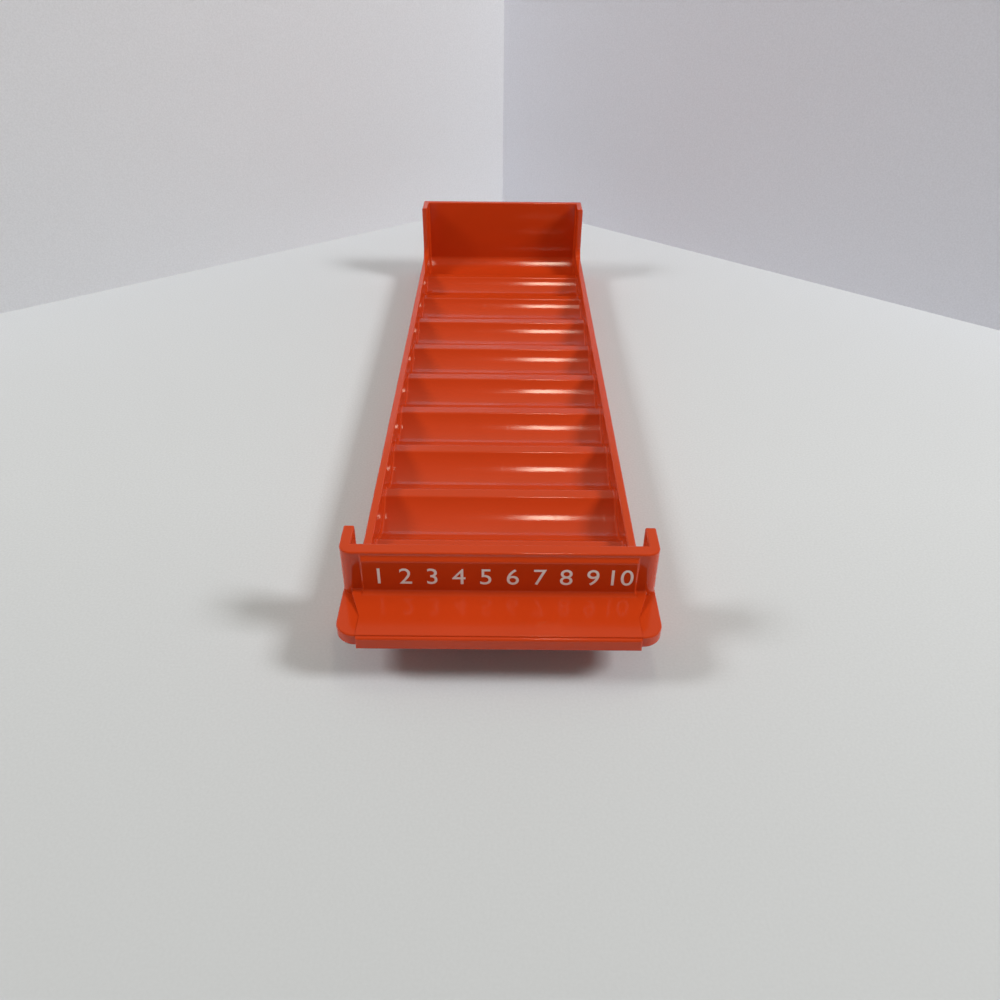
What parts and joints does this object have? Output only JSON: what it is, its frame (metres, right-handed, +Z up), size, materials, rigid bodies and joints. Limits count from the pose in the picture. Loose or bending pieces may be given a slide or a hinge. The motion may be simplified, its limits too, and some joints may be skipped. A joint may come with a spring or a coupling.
{
  "type": "coin counting tray",
  "caption": "Open plastic tray with a row of round-bottomed hollows for coin rolls, low side rails, a tall back wall, a front wall with a label pad, and a pull shelf.",
  "frame": {"origin": "on the table, under the middle of the tray's bounding box", "axes": "+Y towards the back wall, -Y towards the pull shelf and the user, +Z up, +X to the user's right"},
  "size_m": [0.0862, 0.2922, 0.0386],
  "materials": {
    "moulding": "gloss",
    "legend": "hot stamped"
  },
  "bodies": {
    "root": {"roll_cradle_01": "moulding", "roll_cradle_02": "moulding", "roll_cradle_03": "moulding", "roll_cradle_04": "moulding", "roll_cradle_05": "moulding", "roll_cradle_06": "moulding", "roll_cradle_07": "moulding", "roll_cradle_08": "moulding", "roll_cradle_09": "moulding", "roll_cradle_10": "moulding", "divider_ridge_1": "moulding", "divider_ridge_2": "moulding", "divider_ridge_3": "moulding", "divider_ridge_4": "moulding", "divider_ridge_5": "moulding", "divider_ridge_6": "moulding", "divider_ridge_7": "moulding", "divider_ridge_8": "moulding", "divider_ridge_9": "moulding", "side_wall_left": "moulding", "rear_return_left": "moulding", "side_wall_right": "moulding", "rear_return_right": "moulding", "back_wall": "moulding", "front_apron": "moulding", "front_wall": "moulding", "front_ear_left": "moulding", "front_ear_right": "moulding", "label_pad": "moulding", "pull_shelf": "moulding", "finger_lip": "moulding", "shelf_wing_left": "moulding", "shelf_wing_right": "moulding", "shelf_ramp": "moulding"}
  },
  "joints": []
}
